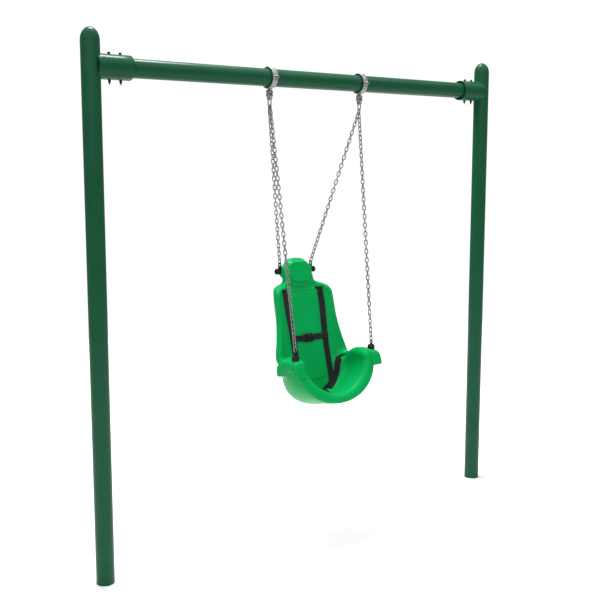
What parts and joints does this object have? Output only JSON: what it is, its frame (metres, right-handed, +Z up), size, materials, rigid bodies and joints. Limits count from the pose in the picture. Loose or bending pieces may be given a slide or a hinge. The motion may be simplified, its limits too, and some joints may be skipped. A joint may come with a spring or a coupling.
{
  "type": "swing set",
  "caption": "Single-bay park swing: two domed posts, a bolted top rail, clamped pendulum hangers and chains carrying a moulded full-support bucket seat with a webbing harness.",
  "frame": {"origin": "on the ground, midway between the two post axes", "axes": "+Z up, +X along the top rail towards the right-hand post as seen from the front, and the seated rider faces -Y"},
  "size_m": [2.679, 0.4555, 2.6093],
  "materials": {
    "green_powder_coat": "gloss powder coat",
    "dark_steel": "dark coated fasteners",
    "galvanised_steel": "galvanised, dull",
    "chain": "galvanised proof coil",
    "green_plastic": "rotomoulded, satin to gloss",
    "black_fitting": "black plastic-coated",
    "black_plastic": "moulded, satin",
    "webbing": "woven black webbing"
  },
  "bodies": {
    "frame": {"top_rail": "green_powder_coat", "left_post": "green_powder_coat", "left_post_cap": "green_powder_coat", "left_rail_socket": "green_powder_coat", "left_outer_socket_bolt": "dark_steel", "left_outer_acorn_nut": "dark_steel", "left_inner_socket_bolt": "dark_steel", "left_inner_acorn_nut": "dark_steel", "left_clamp_upper_half": "galvanised_steel", "left_clamp_lower_half": "galvanised_steel", "left_clamp_front_bolt": "galvanised_steel", "left_clamp_front_nut": "galvanised_steel", "left_clamp_rear_bolt": "galvanised_steel", "left_clamp_rear_nut": "galvanised_steel", "left_pivot_pin": "galvanised_steel", "right_post": "green_powder_coat", "right_post_cap": "green_powder_coat", "right_rail_socket": "green_powder_coat", "right_outer_socket_bolt": "dark_steel", "right_outer_acorn_nut": "dark_steel", "right_inner_socket_bolt": "dark_steel", "right_inner_acorn_nut": "dark_steel", "right_clamp_upper_half": "galvanised_steel", "right_clamp_lower_half": "galvanised_steel", "right_clamp_front_bolt": "galvanised_steel", "right_clamp_front_nut": "galvanised_steel", "right_clamp_rear_bolt": "galvanised_steel", "right_clamp_rear_nut": "galvanised_steel", "right_pivot_pin": "galvanised_steel"},
    "swing": {"left_pendulum": "galvanised_steel", "left_shackle": "galvanised_steel", "left_shackle_pin": "galvanised_steel", "front_left_chain": "chain", "rear_left_chain": "chain", "front_left_eye_bolt": "black_fitting", "front_left_collar": "black_fitting", "front_left_insert": "galvanised_steel", "rear_left_loop": "black_fitting", "rear_left_knob_bolt": "black_fitting", "left_shoulder_strap": "webbing", "left_lap_strap": "webbing", "right_pendulum": "galvanised_steel", "right_shackle": "galvanised_steel", "right_shackle_pin": "galvanised_steel", "front_right_chain": "chain", "rear_right_chain": "chain", "front_right_eye_bolt": "black_fitting", "front_right_collar": "black_fitting", "front_right_insert": "galvanised_steel", "rear_right_loop": "black_fitting", "rear_right_knob_bolt": "black_fitting", "right_shoulder_strap": "webbing", "right_lap_strap": "webbing", "seat_shell": "green_plastic", "right_chest_strap": "webbing", "buckle_socket": "black_plastic"},
    "tongue": {"left_chest_strap": "webbing", "buckle_tongue": "black_plastic"}
  },
  "joints": [
    {"name": "swing_pivot", "type": "hinge", "parent": "frame", "child": "swing", "pos_m": [0, 0, 2.367], "axis": [1, 0, 0], "range_deg": [-60, 60]},
    {"name": "buckle_release", "type": "slide", "parent": "swing", "child": "tongue", "axis": [-1, 0, 0], "range_m": [0, 0.022]}
  ]
}
